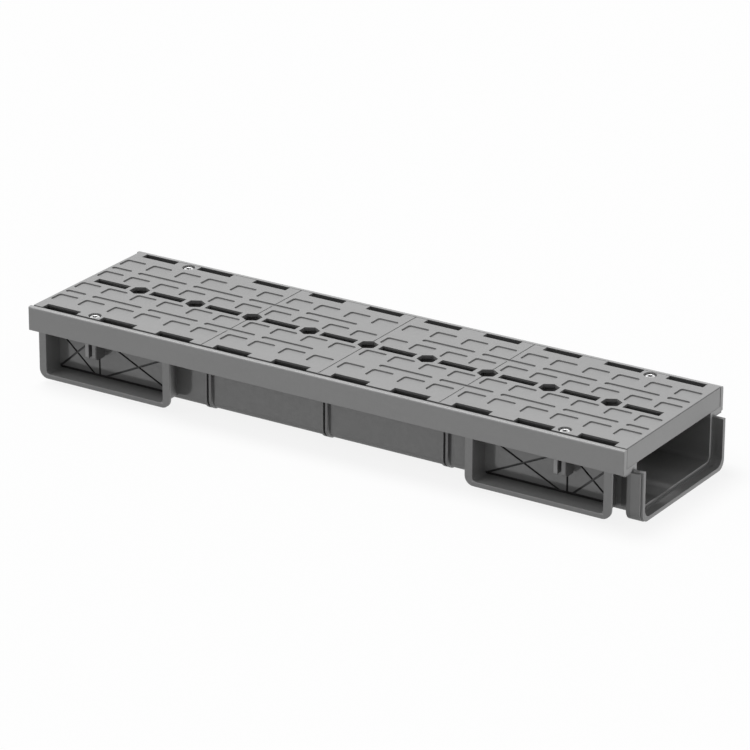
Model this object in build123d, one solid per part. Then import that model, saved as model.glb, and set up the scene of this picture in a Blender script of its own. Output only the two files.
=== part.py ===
from build123d import *
import math
import os

# Channel drain, one metre run, with its bolted cover grate.
# While it is modelled, X runs along the channel from the middle of the run,
# Z is zero at the top of the rims, and the channel is the same left and right of Y = 0.
# Each finished piece is then lifted so that it stands on Z = 0 (see "place").

# Run and rims
run_length = 1000.0          # rim from end to end
module = 100.0               # repeat of the grate pattern along the run
rim_width = 282.0            # outside, over both rims
rim_wall = 7.2
band_height = 36.4           # outer face of the rim
rim_edge = 2.2               # rounding of the rim's top outer edge
rim_end_corner = 1.0         # rounding of the rim's upright corners at the spigot end
seat_depth = 28.8            # rim top down to the ledge that carries the grate
ledge_thickness = 5.0

# Trough
trough_inset = 31.0          # from the rim's outer face in to the trough's side wall
trough_wall = 4.6
trough_depth = 105.6         # rim top down to the underside of the floor
trough_corner = 13.0         # outside, lower corners

# Side frames that take a crossing channel, two on each side
frame_start = 249.0          # from mid run to the inner post's outer face
frame_length = 232.6
frame_post = 12.3
frame_sill = 7.1
frame_face = 4.0             # thickness of the ring in front
frame_wall = 2.8             # wall of the passage behind it, at the ring
frame_drop = 106.7           # rim top down to the underside of the sill
frame_corner = 14.0
window_corner = 6.5
window_draft = 4.0           # degrees

# Thin lines in the wall behind each frame, where it is cut open for a crossing run
score_width = 2.4
score_depth = 3.0
score_top = 38.0             # rim top down to the upper ends of the diagonals
score_bottom = 98.0
score_start = 6.0            # from the line below the boss to the diagonals' lower ends

# Pairs of ribs round the trough that mark where it may be cut to length
cut_spacing = 200.0
rib_thickness = 4.0
rib_gap = 3.4
rib_proud = 5.0              # beyond the trough's side walls
rib_below = 1.4              # beyond the trough's floor

# Socket at the downstream end
socket_root = 7.0            # length that overlaps the trough
socket_reach = 17.5          # length beyond the rim's end
socket_sleeve = 13.8         # length of the thicker part beyond the rim's end
socket_clearance = 0.6       # round a neighbour's trough
socket_side = 9.4            # wall at the sides
socket_floor = 6.8           # wall below
socket_top = 39.0            # rim top down to the sleeve's upper edge
socket_corner = 18.0
lip_side = 6.4               # the thinner end of the socket
lip_floor = 6.0
lip_top = 36.4
lip_corner = 14.5
seal_groove = 1.1            # depth of the groove inside the socket
seal_groove_length = 6.5
seal_groove_start = 1.5

# Grate
grate_inlet_gap = 4.4        # to the rim's end plane at the spigot end
grate_end_gap = 0.3          # to the rim's end plane at the socket end
grate_side_gap = 0.6         # to the rim's inner face, at the full-width ends
edge_gap = 3.3               # to the rim's inner face, along the relieved edges
relief_margin = 20.0         # full-width part at each end
grate_proud = 1.0            # top of the grate above the rim top
plate_thickness = 5.5
skirt_thickness = 4.5
hexagon_radius = 15.5
slot_length = 58.0
slot_width = 15.2
edge_slot_length = 59.6
edge_slot_depth = 12.5       # from the relieved edge inwards
pocket_length = 35.1
pocket_width = 25.1
pocket_corner = 4.0
pocket_depth = 2.2
pocket_margin = 8.6          # from the module line to the pocket
pocket_inner = 16.1          # from the middle line to the inner pocket row
pocket_outer = 73.4          # from the middle line to the outer pocket row
groove_width = 8.2
groove_row = 58.0            # from the middle line
cut_line_width = 1.8
cut_line_depth = 0.8
cross_rib = 3.0
cross_rib_offset = 17.3      # from the module line
long_rib = 3.0
rib_rows = (18.0, 57.5)      # from the middle line
edge_rib_inset = 3.0         # between the edge slots and the outer long rib
short_rib_depth = 22.0       # below the plate
foot_gap = 0.5               # between the cross ribs' ends and the plate's edge

# Bolts, nuts and their bosses
bolt_x = 395.0
bolt_inset = 14.3            # from the rim's inner face
bolt_radius = 4.0            # M8
bolt_length = 42.0
head_radius = 7.9
head_height = 4.4
head_edge = 1.4
key_flats = 6.0              # hexagon socket across flats
key_depth = 2.8
recess_radius = 9.8
recess_depth = 6.0
bolt_clearance = 0.5
thread_clearance = 0.05
column_wall = 1.1            # round the recess
boss_width = 20.4
boss_face = 8.2              # behind the rim's outer face
boss_drop = 64.0             # rim top down to the boss's end
boss_corner = 2.0
boss_foot = 5.5              # rounding of the boss's lower edges
boss_wall = 3.0              # in front of the nut cage
boss_slot = 6.4
nut_side = 13.0
nut_thickness = 6.5
nut_clearance = 0.15

# Values that follow from the ones above
half_run = run_length / 2
half_rim = rim_width / 2
half_seat = half_rim - rim_wall
half_trough = half_rim - trough_inset
ledge_under = seat_depth + ledge_thickness
socket_half = half_trough + socket_clearance + socket_side
socket_under = trough_depth + socket_clearance + socket_floor
lip_half = half_trough + socket_clearance + lip_side
lip_under = trough_depth + socket_clearance + lip_floor
total_height = max(socket_under, frame_drop, trough_depth + rib_below)
grate_start = grate_inlet_gap - half_run
grate_end = half_run - grate_end_gap
grate_length = grate_end - grate_start
grate_middle = (grate_start + grate_end) / 2
relief_half = half_run - relief_margin
edge_half = half_seat - edge_gap
edge_slot_line = edge_half - edge_slot_depth
modules = round(run_length / module)
recess_floor = grate_proud - recess_depth
bolt_y = half_seat - bolt_inset
place = Pos(-socket_reach / 2, 0, total_height)


def along(sketch, start, end):
    """A section drawn across the channel, carried along X from start to end."""
    return extrude(Plane.YZ.offset(start) * sketch, end - start)


def block(x, y, z):
    """A box given by its low and high value on each axis."""
    size = (x[1] - x[0], y[1] - y[0], z[1] - z[0])
    middle = ((x[0] + x[1]) / 2, (y[0] + y[1]) / 2, (z[0] + z[1]) / 2)
    return Pos(*middle) * Box(*size)


def trough_outline(half_width, depth, top, corner):
    """The U of the trough as a filled outline, with its lower corners rounded."""
    sheet = Pos(0, -(depth + top) / 2) * Rectangle(2 * half_width, depth - top)
    return fillet(sheet.vertices().sort_by(Axis.Y)[:2], corner)


def both_sides(piece):
    return piece + mirror(piece, Plane.XZ)


def four_corners(piece):
    half = piece + mirror(piece, Plane.YZ)
    return both_sides(half)


def hanging(length, drop, corner):
    """A face from the rim's lower lip down, with rounded lower corners, for a plane that looks inwards."""
    sheet = Pos(0, (ledge_under + drop) / 2) * Rectangle(length, drop - ledge_under)
    return fillet(sheet.vertices().sort_by(Axis.Y)[-2:], corner)


def side_frames():
    """Frames beside the trough: a flat ring in front, and a thin-walled passage from it back to the wall."""
    reach = half_rim - half_trough + score_depth
    middle = frame_start + frame_length / 2
    front = Plane(origin=(middle, -half_rim, 0), x_dir=(1, 0, 0), z_dir=(0, 1, 0))
    window_length = frame_length - 2 * frame_post
    window_low = frame_drop - frame_sill
    ring = hanging(frame_length, frame_drop, frame_corner)
    passage = hanging(window_length + 2 * frame_wall, window_low + frame_wall, window_corner + frame_wall)
    window = Pos(0, window_low / 2) * Rectangle(window_length, window_low)
    window = fillet(window.vertices().sort_by(Axis.Y)[-2:], window_corner)
    solid = extrude(front * ring, frame_face) + extrude(front * passage, reach)
    return four_corners(solid - extrude(front * window, reach, taper=window_draft))


def score_lines():
    """Lines behind each frame: one below the boss, one along the foot, and two diagonals on each side."""
    near = frame_start + frame_post
    far = frame_start + frame_length - frame_post
    height = score_bottom - score_top
    level = -(score_top + score_bottom) / 2
    lines = Pos(bolt_x, half_trough, level) * Box(score_width, 2 * score_depth, height)
    foot = Box(far - near, 2 * score_depth, score_width)
    lines += Pos((near + far) / 2, half_trough, score_width / 2 - score_bottom) * foot
    for start, end in ((near, bolt_x - score_start), (bolt_x + score_start, far)):
        tilt = math.degrees(math.atan2(height, end - start))
        line = Box(math.hypot(height, end - start), 2 * score_depth, score_width)
        for side in (-1, 1):
            lines += Pos((start + end) / 2, half_trough, level) * Rot(0, side * tilt, 0) * line
    return four_corners(lines)


def cutting_ribs():
    """Pairs of ribs that follow the trough's outline, on each cutting place."""
    outline = trough_outline(half_trough + rib_proud, trough_depth + rib_below, ledge_under,
                             trough_corner + rib_proud)
    ribs = []
    for number in (-1, 0, 1):
        for side in (-1, 1):
            middle = number * cut_spacing + side * (rib_gap + rib_thickness) / 2
            ribs.append(along(outline, middle - rib_thickness / 2, middle + rib_thickness / 2))
    return ribs


def socket():
    """Thick sleeve and thinner lip round the trough's end, still filled inside."""
    start = half_run - socket_root
    step = half_run + socket_sleeve
    sleeve = trough_outline(socket_half, socket_under, socket_top, socket_corner)
    lip = trough_outline(lip_half, lip_under, lip_top, lip_corner)
    web = block((start, half_run), (-half_seat - rim_wall / 2, half_seat + rim_wall / 2),
                (-socket_top, -ledge_under))
    return [along(sleeve, start, step), along(lip, half_run, half_run + socket_reach), web]


def socket_hollow():
    """Room for the neighbour's trough, with the groove for a sealing bead."""
    end = half_run + socket_reach
    clear = trough_outline(half_trough + socket_clearance, trough_depth + socket_clearance, 0,
                           trough_corner + socket_clearance)
    wide = socket_clearance + seal_groove
    groove = trough_outline(half_trough + wide, trough_depth + wide, 0, trough_corner + wide)
    start = half_run + seal_groove_start
    return along(clear, half_run, end + 1) + along(groove, start, start + seal_groove_length)


def bolt_boss():
    """Boss under the ledge: a square cage for the nut, open below and slotted in front."""
    front = half_rim - boss_face
    reach = front - half_trough
    middle = -(boss_drop + ledge_under) / 2
    side = Pos(half_trough + reach / 2, middle) * Rectangle(reach, boss_drop - ledge_under)
    side = fillet(side.vertices().sort_by(Axis.Y)[:2], boss_foot)
    boss = along(side, bolt_x - boss_width / 2, bolt_x + boss_width / 2)
    plan = Pos(bolt_x, half_trough + reach / 2) * Rectangle(boss_width, reach)
    plan = fillet(plan.vertices().sort_by(Axis.Y)[-2:], boss_corner)
    return boss & extrude(plan, -boss_drop)


def nut_cage():
    half = nut_side / 2 + nut_clearance
    front = half_rim - boss_face
    cage = block((bolt_x - half, bolt_x + half), (bolt_y - half, front - boss_wall), (-boss_drop, -ledge_under))
    slot = block((bolt_x - boss_slot / 2, bolt_x + boss_slot / 2), (bolt_y, front + 1),
                 (-boss_drop, -ledge_under))
    hole = Pos(bolt_x, bolt_y, -seat_depth - ledge_thickness / 2)
    return cage + slot + hole * Cylinder(bolt_radius + bolt_clearance, ledge_thickness + 1)


def channel_body():
    inner = half_trough - trough_wall
    band = Pos(0, -band_height / 2) * Rectangle(rim_width, band_height)
    band = fillet(band.vertices().sort_by(Axis.Y)[-2:], rim_edge)
    seat = Pos(0, -seat_depth / 2) * Rectangle(2 * half_seat, seat_depth)
    under = Pos(0, -(band_height + ledge_under) / 2) * Rectangle(2 * half_seat, band_height - ledge_under)
    plan = Rectangle(run_length, rim_width)
    plan = fillet(plan.vertices().sort_by(Axis.X)[:2], rim_end_corner)
    rims = along(band - seat - under, -half_run, half_run) & extrude(plan, -band_height)
    outline = trough_outline(half_trough, trough_depth, seat_depth, trough_corner)
    trough = along(outline, -half_run, half_run) - score_lines()
    solid = rims + trough + side_frames() + four_corners(bolt_boss())
    solid += cutting_ribs() + socket()
    flow = trough_outline(inner, trough_depth - trough_wall, 0, trough_corner - trough_wall)
    solid -= along(flow, -half_run - 1, half_run + 1)
    solid -= socket_hollow()
    return solid - four_corners(nut_cage())


def module_lines(count):
    """X of count lines, one module apart and centred on the run."""
    return [(number - (count - 1) / 2) * module for number in range(count)]


def rounded(length, width, corner):
    return RectangleRounded(length, width, corner)


def grate_plan():
    """Outline of the cover with its hexagons, slots and relieved edges."""
    plan = Pos(grate_middle, 0) * Rectangle(grate_length, 2 * (half_seat - grate_side_gap))
    strip = half_seat - edge_half
    for side in (-1, 1):
        plan -= Pos(0, side * (edge_half + strip / 2)) * Rectangle(2 * relief_half, strip)
        for x in module_lines(modules):
            row = side * (edge_slot_line + edge_half) / 2
            plan -= Pos(x, row) * Rectangle(edge_slot_length, edge_slot_depth)
    for x in module_lines(modules):
        plan -= Pos(x, 0) * Rectangle(slot_length, slot_width)
    for x in module_lines(modules - 1):
        plan -= Pos(x, 0) * RegularPolygon(hexagon_radius, 6, rotation=30)
    return plan


def tread_pattern():
    """Shallow pockets in four rows, and round-ended grooves between the rows."""
    sketch = Sketch()
    near = pocket_margin + pocket_length / 2
    rows = (pocket_inner + pocket_width / 2, pocket_outer + pocket_width / 2)
    for row in rows:
        for x in module_lines(modules):
            for offset in (near - module / 2, module / 2 - near):
                for side in (-1, 1):
                    sketch += Pos(x + offset, side * row) * rounded(pocket_length, pocket_width, pocket_corner)
    long_groove = 2 * (pocket_margin + pocket_length)
    for side in (-1, 1):
        for x in module_lines(modules - 1):
            if abs(x) > module / 2:
                sketch += Pos(x, side * groove_row) * rounded(long_groove, groove_width, groove_width / 2.01)
        for end in (-1, 1):
            x = end * (half_run - near)
            sketch += Pos(x, side * groove_row) * rounded(pocket_length, groove_width, groove_width / 2.01)
    return sketch


def underside_ribs():
    """End skirts, cross ribs that stand on the ledges, and shallower long ribs."""
    plate_under = grate_proud - plate_thickness
    full = plate_under + seat_depth
    wide = 2 * (half_seat - grate_side_gap)
    ribs = []
    for x in (grate_start + skirt_thickness / 2, grate_end - skirt_thickness / 2):
        ribs.append(Pos(x, 0, plate_under - full / 2) * Box(skirt_thickness, wide, full))
    for line in module_lines(modules + 1):
        for side in (-1, 1):
            x = line + side * cross_rib_offset
            if abs(x) < half_run:
                ribs.append(Pos(x, 0, plate_under - full / 2) * Box(cross_rib, 2 * (edge_half - foot_gap), full))
    length = grate_length - skirt_thickness
    outer_row = edge_slot_line - edge_rib_inset
    for row in (*rib_rows, outer_row):
        for side in (-1, 1):
            middle = plate_under - short_rib_depth / 2
            ribs.append(Pos(grate_middle, side * row, middle) * Box(length, long_rib, short_rib_depth))
    return ribs


def grate():
    plate = extrude(Pos(0, 0, grate_proud - plate_thickness) * grate_plan(), plate_thickness)
    column_height = seat_depth + grate_proud - plate_thickness
    column = Pos(bolt_x, bolt_y, -seat_depth + column_height / 2) * Cylinder(recess_radius + column_wall,
                                                                          column_height)
    column &= block((0, half_run), (0, edge_half), (-seat_depth, 0))
    solid = plate + underside_ribs() + four_corners(column)
    solid -= extrude(Pos(0, 0, grate_proud - pocket_depth) * tread_pattern(), pocket_depth)
    for number in (-1, 0, 1):
        line = Pos(number * cut_spacing, 0, grate_proud - cut_line_depth / 2)
        solid -= line * Box(cut_line_width, rim_width, cut_line_depth)
    hole = Pos(bolt_x, bolt_y, -seat_depth / 2) * Cylinder(bolt_radius + bolt_clearance, 2 * seat_depth)
    recess = Pos(bolt_x, bolt_y, recess_floor + recess_depth / 2) * Cylinder(recess_radius, recess_depth)
    return solid - four_corners(hole + recess)


def bolt(x, y):
    head = Pos(0, 0, head_height / 2) * Cylinder(head_radius, head_height)
    head = chamfer(head.edges().sort_by(Axis.Z)[-1], head_edge)
    key = RegularPolygon(key_flats / 2, 6, major_radius=False)
    head -= extrude(Pos(0, 0, head_height - key_depth) * key, key_depth)
    shank = Pos(0, 0, -bolt_length / 2) * Cylinder(bolt_radius, bolt_length)
    return Pos(x, y, recess_floor) * (head + shank)


def nut(x, y):
    solid = Box(nut_side, nut_side, nut_thickness) - Cylinder(bolt_radius + thread_clearance, nut_thickness)
    return Pos(x, y, -ledge_under - nut_thickness / 2) * solid


pieces = {"channel_body": channel_body(), "grate": grate()}
corners = [(-bolt_x, -bolt_y), (bolt_x, -bolt_y), (-bolt_x, bolt_y), (bolt_x, bolt_y)]
for number, (x, y) in enumerate(corners, start=1):
    pieces[f"grate_bolt_{number}"] = bolt(x, y)
    pieces[f"captive_nut_{number}"] = nut(x, y)

os.makedirs("parts", exist_ok=True)
for name, piece in pieces.items():
    export_step(place * piece, f"parts/{name}.step")
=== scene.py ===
import math
from functools import cached_property

import bpy
import numpy as np
from mathutils import Matrix, Vector


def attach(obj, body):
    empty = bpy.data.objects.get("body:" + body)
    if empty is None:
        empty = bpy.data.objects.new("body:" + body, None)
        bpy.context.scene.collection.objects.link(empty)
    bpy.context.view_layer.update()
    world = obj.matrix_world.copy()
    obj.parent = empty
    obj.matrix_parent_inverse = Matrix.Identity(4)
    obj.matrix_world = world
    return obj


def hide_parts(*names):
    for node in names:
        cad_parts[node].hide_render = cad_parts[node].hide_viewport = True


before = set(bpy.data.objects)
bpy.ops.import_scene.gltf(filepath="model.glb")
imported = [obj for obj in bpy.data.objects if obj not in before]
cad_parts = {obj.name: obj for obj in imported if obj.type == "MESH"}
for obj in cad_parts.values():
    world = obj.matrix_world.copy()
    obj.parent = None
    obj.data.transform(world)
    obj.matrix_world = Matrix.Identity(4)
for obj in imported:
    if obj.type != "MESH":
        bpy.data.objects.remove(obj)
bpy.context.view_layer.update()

# Places, in metres in the row frame. Y is counted from the middle of the channel to either side.
RUN_MIDDLE_X = -0.00875
RIM_TOP_Z = 0.113
RIM_FOOT_Z = 0.0766
RIM_FACE_Y = 0.141
SEAT_FACE_Y = 0.1338
SEAT_END_X = 0.4895
SET_BACK_Y = 0.1275
WALL_FACE_Y = 0.110
TROUGH_FLOOR_Z = 0.012
SILL_TOP_Z = 0.0134

# Bolts and the bosses that hold their nuts, both ways from mid run
BOLT_OFFSET_X = 0.395
BOLT_OFFSET_Y = 0.1195
GRATE_PROUD, HEAD_RECESS = 0.001, 0.006
BOLT_SEAT_Z = RIM_TOP_Z + GRATE_PROUD - HEAD_RECESS
BOSS_FACE_Y = 0.1328
BOSS_END_Z = 0.049
FIN_OFFSET_X = 0.0067
FIN_HALF = 0.0035

# Windows of the side frames and the cut lines in the wall behind them, both ways from mid run
WINDOW_NEAR = 0.2613
WINDOW_FAR = 0.4693
LINES_LOW_Z = 0.015
LINES_HIGH_Z = 0.075
LINE_HALF = 0.0012
LINE_DEPTH = 0.003
DIAGONAL_START = 0.006

# Cutting ribs, the gap beside the socket, and the grate's openings and joints
CUT_SPACING = 0.2
RIB_GAP_HALF = 0.0017
NOOK_NEAR_X, NOOK_FAR_X = 0.4795, 0.4995
HEXAGON_SPACING = 0.1
HEXAGON_REACH = 0.0181
EDGE_SLOT_Y = 0.030
OPENINGS_TOP_Z = 0.11105
OPENINGS_END_X = 0.486
SIDE_JOINT_Y = 0.13305
END_FOLD_X, END_FOLD_Z = 0.4897, 0.1129
END_JOINT_X, END_JOINT_Y = 0.4906, 0.1319

# How far the painted shade reaches: up the wall's foot, out over the sill, beside the socket, round the cut
# lines
FOOT_HEIGHT, FOOT_DEPTH = 0.017, 0.016
NOOK_DEPTH, NOOK_FULL_DEPTH = 0.020, 0.002
BRINK_DEPTH = 0.0007

# Painted shade on the trough's floor near the front: where it starts and where it is full, towards each edge
STRIPE_FRONT_Y = (-0.062, -0.045)
STRIPE_MIDDLE_Y = (-0.002, -0.016)

# Painted highlights along the rim's top edge and the sills' front edges
EDGE_WIDTH = 0.0025
SILL_LINE_HALF = 0.0011
SILL_LINE_DEPTH = 0.0009

# Half widths of the edges of the shade masks
SHARP, CRISP, SOFT = 0.00005, 0.0002, 0.0005
BROAD, GRADUAL = 0.0025, 0.010

# How much painted light each place gets over bare plastic, or painted shade below zero, and how much light
# the painted shade takes there
PAINTED_LIGHT_AND_SHADE = {"rim": 0.3, "rim_edge": 0.25, "sill_edge": 0.5, "fin": 0.6, "set_back": -0.07, "seat": -0.8}
PAINTED_SHADE = {"lines": 0.9, "brinks": 0.65, "gaps": 0.6, "foot": 0.4, "nook": 0.5, "floor": 0.6}
# Painted shade in the grate's joints with the rim and in its openings
JOINT_PAINTED_SHADE = 0.65
HEXAGON_PAINTED_SHADE, SLOT_PAINTED_SHADE = 0.25, 0.65
# Painted shade in the bolts' drives: the radius it reaches and the light it leaves
DRIVE_RADIUS, DRIVE_PAINTED_SHADE_LEVEL = 0.0033, 0.1

# Levels of the studio
WORLD_LIGHT = 0.25
FLOOR_BOUNCE = 0.15
FLOOR_PAPER = 0.86
FLOOR_WHITE = 0.86
FLOOR_HALF = 20.0

# The way the light travels, its strength and its apparent size in degrees
LAMPS = {
    "low_front_left": ((0.59, 1.0, 0.47), 0.5, 5.0),
    "top_from_behind": ((0.45, -0.22, -1.0), 2.4, 25.0),
    "top_from_front": ((0.45, 0.30, -1.0), 0.4, 25.0),
    "low_right_behind": ((-1.0, -0.10, 0.18), 1.4, 15.0),
}

# The camera fitted to the photograph: degrees, metres and pixels
CAMERA_AZIMUTH, CAMERA_ELEVATION, CAMERA_ROLL = 32.362, 21.876, 0.277
CAMERA_DISTANCE, CAMERA_RIGHT, CAMERA_DOWN = 6.10686, 0.010044, 0.04257
FOCAL_PIXELS, PHOTO_PIXELS = 4267.27, 750.0
SENSOR_WIDTH_MM = 36.0


class Value:
    """One output socket of a node. Sums, differences and products of values and numbers add Math nodes."""

    def __init__(self, finish, socket):
        self.finish = finish
        self.socket = socket

    def _math(self, operation, first, second):
        return self.finish.node("ShaderNodeMath", {"operation": operation}, {0: first, 1: second})

    def __add__(self, other):
        return self._math("ADD", self, other)

    __radd__ = __add__

    def __mul__(self, other):
        return self._math("MULTIPLY", self, other)

    __rmul__ = __mul__

    def __sub__(self, other):
        return self._math("SUBTRACT", self, other)

    def __rsub__(self, other):
        return self._math("SUBTRACT", other, self)


class Finish:
    """A new material and its node tree."""

    def __init__(self, name):
        self.material = bpy.data.materials.new(name)
        self.material.use_nodes = True
        self.tree = self.material.node_tree
        self.tree.nodes.clear()

    def node(self, kind, settings=None, sockets=None, output=0):
        """Adds a node: its settings first, then the values and links of its sockets."""
        made = self.tree.nodes.new(kind)
        for key, value in (settings or {}).items():
            setattr(made, key, value)
        for key, value in (sockets or {}).items():
            if isinstance(value, Value):
                self.tree.links.new(value.socket, made.inputs[key])
            else:
                made.inputs[key].default_value = value
        return Value(self, made.outputs[output]) if len(made.outputs) else None

    @cached_property
    def place(self):
        return self.node("ShaderNodeTexCoord", output="Object")

    @cached_property
    def along(self):
        """Distance from mid run, positive towards the socket."""
        return self.axis(0) - RUN_MIDDLE_X

    @cached_property
    def run(self):
        """Distance from mid run, either way."""
        return self.size_of(self.along)

    @cached_property
    def across(self):
        return self.axis(1)

    @cached_property
    def side(self):
        """Distance from the middle of the channel to either side."""
        return self.size_of(self.across)

    @cached_property
    def height(self):
        return self.axis(2)

    def axis(self, number):
        """The place along one axis: 0 along the run, 1 across it, 2 up."""
        return self.node("ShaderNodeSeparateXYZ", sockets={"Vector": self.place}, output=number)

    def size_of(self, value):
        return self.node("ShaderNodeMath", {"operation": "ABSOLUTE"}, {0: value})

    def ramp(self, value, start, end):
        """0 on the start's side and 1 on the end's side of a slope."""
        return self.node("ShaderNodeMapRange", {"clamp": True},
                         {"Value": value, "From Min": start, "From Max": end})

    def above(self, value, edge, softness):
        return self.ramp(value, edge - softness, edge + softness)

    def below(self, value, edge, softness):
        return self.ramp(value, edge + softness, edge - softness)

    def within(self, value, low, high, softness):
        return self.above(value, low, softness) * self.below(value, high, softness)

    def chosen(self, operation, first, *others):
        for other in others:
            first = self.node("ShaderNodeMath", {"operation": operation}, {0: first, 1: other})
        return first

    def largest(self, *values):
        return self.chosen("MAXIMUM", *values)

    def smallest(self, *values):
        return self.chosen("MINIMUM", *values)

    def noise(self, scale, detail=2.0, roughness=0.5, place=None):
        """Noise of about this many features to the metre, 0.5 on average."""
        sockets = {"Vector": place or self.place, "Scale": scale, "Detail": detail, "Roughness": roughness}
        return self.node("ShaderNodeTexNoise", {"noise_dimensions": "3D"}, sockets)

    def stretched(self, x, y, z):
        """The place, with each axis stretched, so that a pattern runs along the part."""
        return self.node("ShaderNodeMapping", {"vector_type": "POINT"},
                         {"Vector": self.place, "Scale": (x, y, z)})

    def between(self, amount, dark, light):
        """A colour between two, by an amount from 0 to 1."""
        return self.node("ShaderNodeMix", {"data_type": "RGBA"},
                         {"Factor": amount, 6: dark, 7: light}, output=2)

    def shaded(self, colour, shade):
        return self.node("ShaderNodeVectorMath", {"operation": "SCALE"}, {"Vector": colour, "Scale": shade})

    def bump(self, strength, distance, height, **normal):
        sockets = {"Strength": strength, "Distance": distance, "Height": height}
        return self.node("ShaderNodeBump", sockets=sockets | normal)

    def surface(self, **sockets):
        """Ends the tree in one Principled shader."""
        named = {key.replace("_", " "): value for key, value in sockets.items()}
        return self.ended(self.node("ShaderNodeBsdfPrincipled", sockets=named))

    def ended(self, shader):
        self.node("ShaderNodeOutputMaterial", sockets={"Surface": shader})
        return self.material


def grey(level):
    return (level, level, level, 1.0)


def to_diagonals(f, near, far):
    """How far each place on the wall is from the two diagonals of a rectangle behind a frame.

    With a and b the half sides, it is the size of (distance along x b - distance up x a) / length of (a, b),
    both distances counted from the rectangle's middle and without their signs.
    """
    half_run, half_rise = (far - near) / 2, (LINES_HIGH_Z - LINES_LOW_Z) / 2
    length = math.hypot(half_run, half_rise)
    along = f.size_of(f.run - (near + far) / 2) * (half_rise / length)
    upward = f.size_of(f.height - (LINES_LOW_Z + half_rise)) * (half_run / length)
    return f.size_of(along - upward)


def to_cut_lines(f):
    """How far each place on the wall is from the nearest cut line's middle."""
    return f.smallest(f.size_of(f.run - BOLT_OFFSET_X),
                      f.size_of(f.height - (LINES_LOW_Z + LINE_HALF)),
                      to_diagonals(f, WINDOW_NEAR, BOLT_OFFSET_X - DIAGONAL_START),
                      to_diagonals(f, BOLT_OFFSET_X + DIAGONAL_START, WINDOW_FAR))


def painted_light_and_shade_places(f, below_rim, window, outside):
    """Where light or shade is painted on the channel: lighter rim, top edge, sill edges and fins; darker
    where set back and in the seat.
    """
    fin = f.smallest(f.size_of(f.along - BOLT_OFFSET_X + FIN_OFFSET_X),
                     f.size_of(f.along + BOLT_OFFSET_X + FIN_OFFSET_X))
    fin = f.below(fin, FIN_HALF, CRISP) * f.above(f.side, BOSS_FACE_Y - 2 * SOFT, CRISP)
    seat = f.within(f.side, WALL_FACE_Y - SOFT, SEAT_FACE_Y + SOFT, CRISP)
    seat = seat * f.below(f.height, RIM_TOP_Z - 2 * SOFT, SOFT) * f.below(f.along, SEAT_END_X, SOFT)
    rim_edge = f.above(f.height, RIM_TOP_Z - EDGE_WIDTH, SOFT)
    sill_edge = f.within(f.height, SILL_TOP_Z - SILL_LINE_HALF, SILL_TOP_Z + SILL_LINE_HALF, 2 * CRISP)
    return {
        "rim": 1.0 - below_rim,
        "rim_edge": rim_edge * f.above(f.side, RIM_FACE_Y - EDGE_WIDTH, CRISP),
        "sill_edge": window * sill_edge * f.above(f.side, RIM_FACE_Y - SILL_LINE_DEPTH, CRISP),
        "fin": below_rim * fin * f.above(f.height, BOSS_END_Z - 3 * SOFT, SOFT),
        "set_back": below_rim * outside * f.below(f.side, SET_BACK_Y, BROAD),
        "seat": (1.0 - below_rim) * seat,
    }


def painted_shade_places(f, below_rim, window, outside):
    """Where shade is painted on the channel: in and beside cut lines, in gaps, at the wall's foot, on the
    floor.
    """
    skin = WALL_FACE_Y - 2 * SHARP
    in_lines = f.above(f.side, WALL_FACE_Y - LINE_DEPTH - 2 * CRISP, CRISP) * f.below(f.side, skin, SHARP)
    to_rib_gap = f.smallest(f.run, f.size_of(f.run - CUT_SPACING))
    on_wall = f.above(f.side, skin, SHARP) * f.below(f.side, WALL_FACE_Y + BRINK_DEPTH, CRISP)
    at_foot = f.ramp(f.height, LINES_LOW_Z + FOOT_HEIGHT, LINES_LOW_Z)
    at_foot = at_foot * f.ramp(f.side, WALL_FACE_Y + FOOT_DEPTH, WALL_FACE_Y)
    beside_socket = f.ramp(f.side, WALL_FACE_Y + NOOK_DEPTH, WALL_FACE_Y + NOOK_FULL_DEPTH)
    stripe = f.ramp(f.across, *STRIPE_FRONT_Y) * f.ramp(f.across, *STRIPE_MIDDLE_Y)
    return {
        "lines": window * in_lines,
        "brinks": window * on_wall * f.below(to_cut_lines(f), LINE_HALF + SOFT, 2 * CRISP),
        "gaps": below_rim * outside * f.below(to_rib_gap, RIB_GAP_HALF, CRISP),
        "foot": window * outside * at_foot,
        "nook": below_rim * outside * beside_socket * f.within(f.along, NOOK_NEAR_X, NOOK_FAR_X, SOFT),
        "floor": stripe * f.within(f.height, TROUGH_FLOOR_Z - 4 * SOFT, TROUGH_FLOOR_Z + 2 * SOFT, SOFT),
    }


def channel_shade(f):
    """How light each place on the channel is painted: 1 plus the painted light there, times what each painted
    shade leaves.
    """
    below_rim = f.below(f.height, RIM_FOOT_Z, CRISP)
    window = below_rim * f.within(f.run, WINDOW_NEAR - SOFT, WINDOW_FAR + SOFT, CRISP)
    outside = f.above(f.side, WALL_FACE_Y - SOFT, CRISP)
    shade = 1.0
    for name, mask in painted_light_and_shade_places(f, below_rim, window, outside).items():
        shade = shade + PAINTED_LIGHT_AND_SHADE[name] * mask
    for name, mask in painted_shade_places(f, below_rim, window, outside).items():
        shade = shade * (1.0 - PAINTED_SHADE[name] * mask)
    return shade


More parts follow.
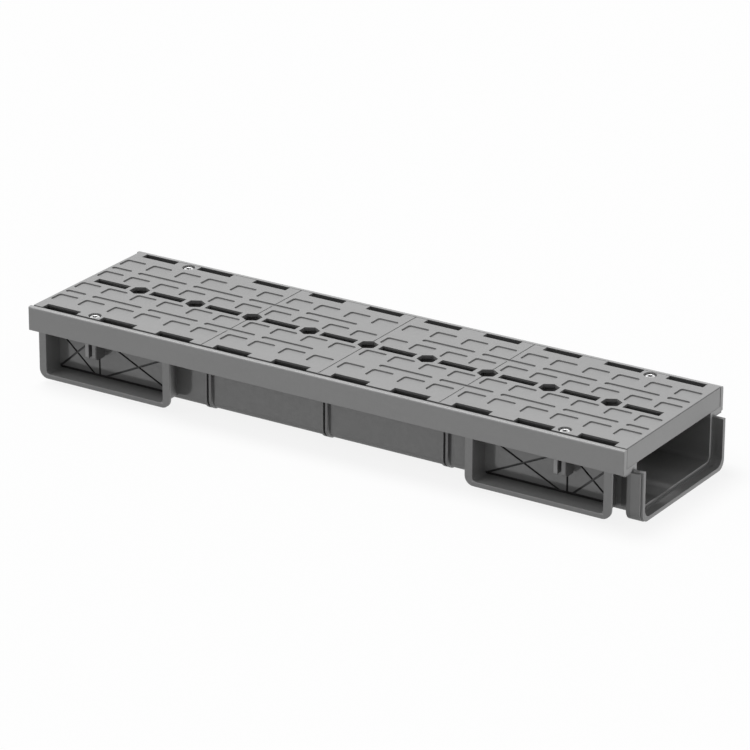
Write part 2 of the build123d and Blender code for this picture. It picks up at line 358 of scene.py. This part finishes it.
def grate_shade(f):
    """How light each place on the grate is painted: painted shade in its joints with the rim and in its
    openings.
    """
    x = f.axis(0)
    side_joint = f.above(f.side, SIDE_JOINT_Y, SHARP)
    end_fold = f.above(x, END_FOLD_X, CRISP) * f.above(f.height, END_FOLD_Z, CRISP)
    end_joint = f.above(x, END_JOINT_X, 2 * SHARP) * f.above(f.side, END_JOINT_Y, CRISP)
    openings = f.below(f.height, OPENINGS_TOP_Z, CRISP) * f.below(x, OPENINGS_END_X, CRISP)
    to_hexagon = f.node("ShaderNodeMath", {"operation": "PINGPONG"}, {0: f.along, 1: HEXAGON_SPACING / 2})
    slots = f.largest(f.above(f.side, EDGE_SLOT_Y, GRADUAL), f.above(to_hexagon, HEXAGON_REACH, SOFT))
    inside = openings * (HEXAGON_PAINTED_SHADE + (SLOT_PAINTED_SHADE - HEXAGON_PAINTED_SHADE) * slots)
    return 1.0 - JOINT_PAINTED_SHADE * f.largest(side_joint, end_fold, end_joint) - inside


def moulded_plastic(name, level, grain, edge, shade):
    """Grey polypropylene: cloudy flow marks along the run, a fine regrind speckle, and spark-eroded grain."""
    f = Finish(name)
    cloud = f.noise(7.0, 4.0, 0.6, f.stretched(0.35, 1.0, 1.0))
    streak = f.noise(60.0, 3.0, 0.6, f.stretched(0.12, 1.0, 1.0))
    speckle = f.noise(900.0, 1.0)
    darkest, lightest = 0.86, 1.14
    tone = 0.5 * cloud + 0.2 * streak + 0.3 * speckle
    colour = f.between(tone, grey(level * darkest), grey(level * lightest))
    rounded = f.node("ShaderNodeBevel", {"samples": 4}, {"Radius": edge})
    sink = f.bump(0.25, 0.0006, f.noise(22.0, 2.0), Normal=rounded)
    skin = f.bump(grain, 0.00012, f.noise(1700.0, 3.0, 0.65), Normal=sink)
    rough = 0.40 + 0.22 * f.noise(240.0, 3.0) + 0.08 * cloud
    # The shade function paints light and shade into the base colour
    return f.surface(Base_Color=f.shaded(colour, shade(f)), Roughness=rough, Normal=skin)


def drive_shade(f):
    """How light each place on a bolt is painted: its drive is darkened with painted shade."""
    along, across = f.run - BOLT_OFFSET_X, f.side - BOLT_OFFSET_Y
    squared = along * along + across * across
    past_drive = f.ramp(squared, (DRIVE_RADIUS - CRISP) ** 2, (DRIVE_RADIUS + CRISP) ** 2)
    return DRIVE_PAINTED_SHADE_LEVEL + (1.0 - DRIVE_PAINTED_SHADE_LEVEL) * past_drive


def evenly_clean(f):
    """The nuts are the same all over."""
    return 1.0


def turned_steel(name, level, dullness, turning, shade):
    """Stainless steel with the fine marks that turning and rolling leave, and a little handling wear."""
    f = Finish(name)
    smear = f.noise(260.0, 3.0)
    scratch = f.noise(1500.0, 2.0, 0.6, f.stretched(1.0, 1.0, 0.2))
    colour = f.between(smear, grey(level * 0.88), grey(min(1.0, level * 1.06)))
    rough = dullness + 0.16 * smear + 0.08 * scratch
    marks = f.bump(turning, 0.00005, scratch)
    # The shade function paints shade into the base colour
    return f.surface(Base_Color=f.shaded(colour, shade(f)), Roughness=rough, Metallic=1.0, Normal=marks)


def seen_directly(f):
    """1 for the rays that show the background: from the camera, in a gloss or through glass, else 0."""
    return f.largest(*(f.node("ShaderNodeLightPath", output=name)
                       for name in ("Is Camera Ray", "Is Glossy Ray", "Is Transmission Ray")))


def studio_floor(name):
    """Pale paper: white where it is seen, with the part's soft shadow, and grey where it bounces light."""
    f = Finish(name)
    seen = seen_directly(f)
    paper = f.node("ShaderNodeBsdfPrincipled", sockets={
        "Base Color": f.between(seen, grey(FLOOR_BOUNCE), grey(FLOOR_PAPER)), "Roughness": 0.9})
    glow = f.node("ShaderNodeEmission", sockets={"Color": grey(1.0), "Strength": 1.0})
    return f.ended(f.node("ShaderNodeMixShader", sockets={0: FLOOR_WHITE * seen, 1: paper, 2: glow}))


finishes = {
    "channel_plastic": moulded_plastic("channel_plastic_moulded", level=0.265, grain=0.35, edge=0.0006,
                                       shade=channel_shade),
    "grate_plastic": moulded_plastic("grate_plastic_moulded", level=0.30, grain=0.45, edge=0.0006,
                                     shade=grate_shade),
    "bolt_steel": turned_steel("bolt_steel_bright", level=0.70, dullness=0.20, turning=0.35,
                               shade=drive_shade),
    "nut_steel": turned_steel("nut_steel_plain", level=0.62, dullness=0.32, turning=0.5,
                              shade=evenly_clean),
}


def finish_of(node_name):
    if node_name.startswith("grate_bolt"):
        return "bolt_steel"
    if node_name.startswith("captive_nut"):
        return "nut_steel"
    return {"channel_body": "channel_plastic", "grate": "grate_plastic"}[node_name]


for node_name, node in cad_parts.items():
    for slot in node.material_slots:
        slot.material = finishes[finish_of(node_name)]


def turned_mesh(name, points):
    """A closed mesh from a grid of points: rows on a profile, columns round it, a flat face at each end."""
    rows, columns = points.shape[:2]
    row, column = np.meshgrid(np.arange(rows - 1), np.arange(columns), indexing="ij")
    after = (column + 1) % columns
    quads = np.stack([row * columns + column, row * columns + after,
                      (row + 1) * columns + after, (row + 1) * columns + column], axis=-1).reshape(-1, 4)
    first, last = np.arange(columns)[::-1], (rows - 1) * columns + np.arange(columns)
    mesh = bpy.data.meshes.new(name)
    mesh.from_pydata(points.reshape(-1, 3).tolist(), [], quads.tolist() + [first.tolist(), last.tolist()])
    mesh.shade_smooth()
    return mesh


def head_profile():
    """Radius and height in millimetres, and how hexagonal each point is, from the drive to the shank.

    The rounded shoulder is the curve (sin t, cos t), both to the power of its fullness, from the flat top
    to the side.
    """
    head_radius, head_height, land, side_height = 7.9, 4.4, 5.4, 2.2
    drive_radius, drive_floor, centre = 3.0, 1.6, 0.02
    fillet, bevel, bevel_drop, bevel_top = 0.15, 0.1, 0.25, 0.05
    rim_inset, rim_rise, neck_radius, neck_flare, neck_drop = 0.2, 0.3, 4.0, 0.2, 0.3
    fullness, steps = 0.8, 12
    t = np.linspace(0.0, math.pi / 2, steps)[1:]
    drive = [(centre, drive_floor), (drive_radius - fillet, drive_floor),
             (drive_radius, drive_floor + fillet), (drive_radius, head_height - bevel_drop),
             (drive_radius + bevel, head_height - bevel_top)]
    shoulder = np.stack([land + (head_radius - land) * np.sin(t) ** fullness,
                         side_height + (head_height - side_height) * np.cos(t) ** fullness], axis=-1)
    under = [(head_radius, rim_rise), (head_radius - rim_inset, 0.0),
             (neck_radius + neck_flare, 0.0), (neck_radius, -neck_drop)]
    profile = np.concatenate([drive, [(land, head_height)], shoulder, under])
    hexed = np.where(np.arange(len(profile)) < len(drive), 1.0, 0.0)
    return profile[:, 0], profile[:, 1], hexed


def button_bolt(name, x, y):
    """A low-headed bolt as one surface of revolution with a hexagonal drive.

    Round it, u is the angle. Along it, the profile runs from the middle of the drive's floor, up the drive's
    walls, over the flat top and rounded shoulder, under the head, down the threaded shank and to the middle
    of its tip. The radius of the drive's points is r / cos(w), where w is the angle from the nearest flat's
    middle, so a circle of flat radius r turns into a hexagon. The shank's radius is its full radius less the
    thread's depth times a triangle wave of u / full turn + height / pitch.
    """
    columns, rows, full_turn = 96, 320, 2.0 * math.pi
    shank_radius, thread_depth, pitch, run_out = 4.0, 0.61, 1.25, 1.5
    thread_top, thread_end, tip_length, tip_radius, centre = -1.0, -41.0, 1.0, 3.3, 0.02
    u = np.linspace(0.0, full_turn, columns, endpoint=False)
    hexagon = 1.0 / np.cos(np.abs((u + math.pi / 6) % (math.pi / 3) - math.pi / 6))
    radius, height, hexed = head_profile()
    head = radius[:, None] * (1.0 + hexed[:, None] * (hexagon[None, :] - 1.0))
    down = np.linspace(thread_top, thread_end, rows)
    turn = (u[None, :] / full_turn + down[:, None] / pitch) % 1.0
    fade = np.clip(np.minimum(thread_top - down, down - thread_end) / run_out, 0.0, 1.0)[:, None]
    shank = shank_radius - thread_depth * fade * np.abs(2.0 * turn - 1.0)
    tip = np.stack([np.full(columns, tip_radius), np.full(columns, centre)])
    radii = np.concatenate([head, shank, tip])
    heights = np.concatenate([height, down, [thread_end - tip_length, thread_end - tip_length]])
    risen = np.broadcast_to(heights[:, None], radii.shape)
    points = np.stack([radii * np.cos(u), radii * np.sin(u), risen], axis=-1) / 1000.0
    points = points + np.array([x, y, BOLT_SEAT_Z])
    piece = bpy.data.objects.new(name, turned_mesh(name, points[::-1]))
    bpy.context.scene.collection.objects.link(piece)
    piece.data.materials.append(finishes["bolt_steel"])
    return piece


corners = [(-BOLT_OFFSET_X, -BOLT_OFFSET_Y), (BOLT_OFFSET_X, -BOLT_OFFSET_Y),
           (-BOLT_OFFSET_X, BOLT_OFFSET_Y), (BOLT_OFFSET_X, BOLT_OFFSET_Y)]
for number, (x, y) in enumerate(corners, start=1):
    piece = button_bolt(f"button_bolt_{number}", x + RUN_MIDDLE_X, y)
    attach(piece, "root")
    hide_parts(f"grate_bolt_{number}")


def paper_floor():
    """A flat square at the height of the lowest point of the part."""
    corner = np.array([[-1.0, -1.0, 0.0], [1.0, -1.0, 0.0], [1.0, 1.0, 0.0], [-1.0, 1.0, 0.0]]) * FLOOR_HALF
    mesh = bpy.data.meshes.new("paper_floor")
    mesh.from_pydata(corner.tolist(), [], [(0, 1, 2, 3)])
    floor = bpy.data.objects.new("paper_floor", mesh)
    bpy.context.scene.collection.objects.link(floor)
    floor.data.materials.append(studio_floor("paper_floor_white"))
    floor.visible_shadow = False


class Surroundings(Finish):
    """The world's node tree, made with the same methods as a finish."""

    def __init__(self, name):
        self.world = bpy.data.worlds.new(name)
        self.world.use_nodes = True
        self.tree = self.world.node_tree
        self.tree.nodes.clear()


def studio_world():
    """Dim even light from all round, and plain white where the camera or a gloss looks past the floor."""
    f = Surroundings("studio_world")
    dim, white = (f.node("ShaderNodeBackground", sockets={"Color": grey(1.0), "Strength": strength})
                  for strength in (WORLD_LIGHT, 1.0))
    mixed = f.node("ShaderNodeMixShader", sockets={0: seen_directly(f), 1: dim, 2: white})
    f.node("ShaderNodeOutputWorld", sockets={"Surface": mixed})
    bpy.context.scene.world = f.world


def sun(name, travel, strength, angle):
    """A lamp so far off that its light travels one way, softened by its apparent size."""
    lamp = bpy.data.lights.new(name, "SUN")
    lamp.energy = strength
    lamp.angle = math.radians(angle)
    holder = bpy.data.objects.new(name, lamp)
    holder.rotation_euler = Vector(travel).to_track_quat("-Z", "Y").to_euler()
    bpy.context.scene.collection.objects.link(holder)


studio_world()
paper_floor()
for lamp_name, (travel, strength, angle) in LAMPS.items():
    sun(lamp_name, travel, strength, angle)


def photo_camera():
    """The camera fitted to the photograph: its place, turn and focal length."""
    azimuth, elevation, roll = (math.radians(v) for v in (CAMERA_AZIMUTH, CAMERA_ELEVATION, CAMERA_ROLL))
    back = Vector((math.sin(azimuth) * math.cos(elevation), -math.cos(azimuth) * math.cos(elevation),
                   math.sin(elevation)))
    right = (-back).cross(Vector((0, 0, 1))).normalized()
    up = right.cross(-back)
    turned_right = math.cos(roll) * right + math.sin(roll) * up
    turned_up = -math.sin(roll) * right + math.cos(roll) * up
    place = back * CAMERA_DISTANCE + turned_right * CAMERA_RIGHT - turned_up * CAMERA_DOWN
    place += Vector((RUN_MIDDLE_X, 0, RIM_TOP_Z))
    data = bpy.data.cameras.new("photo_camera")
    data.sensor_width = SENSOR_WIDTH_MM
    data.lens = SENSOR_WIDTH_MM * FOCAL_PIXELS / PHOTO_PIXELS
    data.clip_end = 100.0
    camera = bpy.data.objects.new("photo_camera", data)
    turn = Matrix((turned_right, turned_up, back)).transposed().to_4x4()
    camera.matrix_world = Matrix.Translation(place) @ turn
    bpy.context.scene.collection.objects.link(camera)
    bpy.context.scene.camera = camera


photo_camera()
bpy.context.scene.view_settings.view_transform = "Standard"
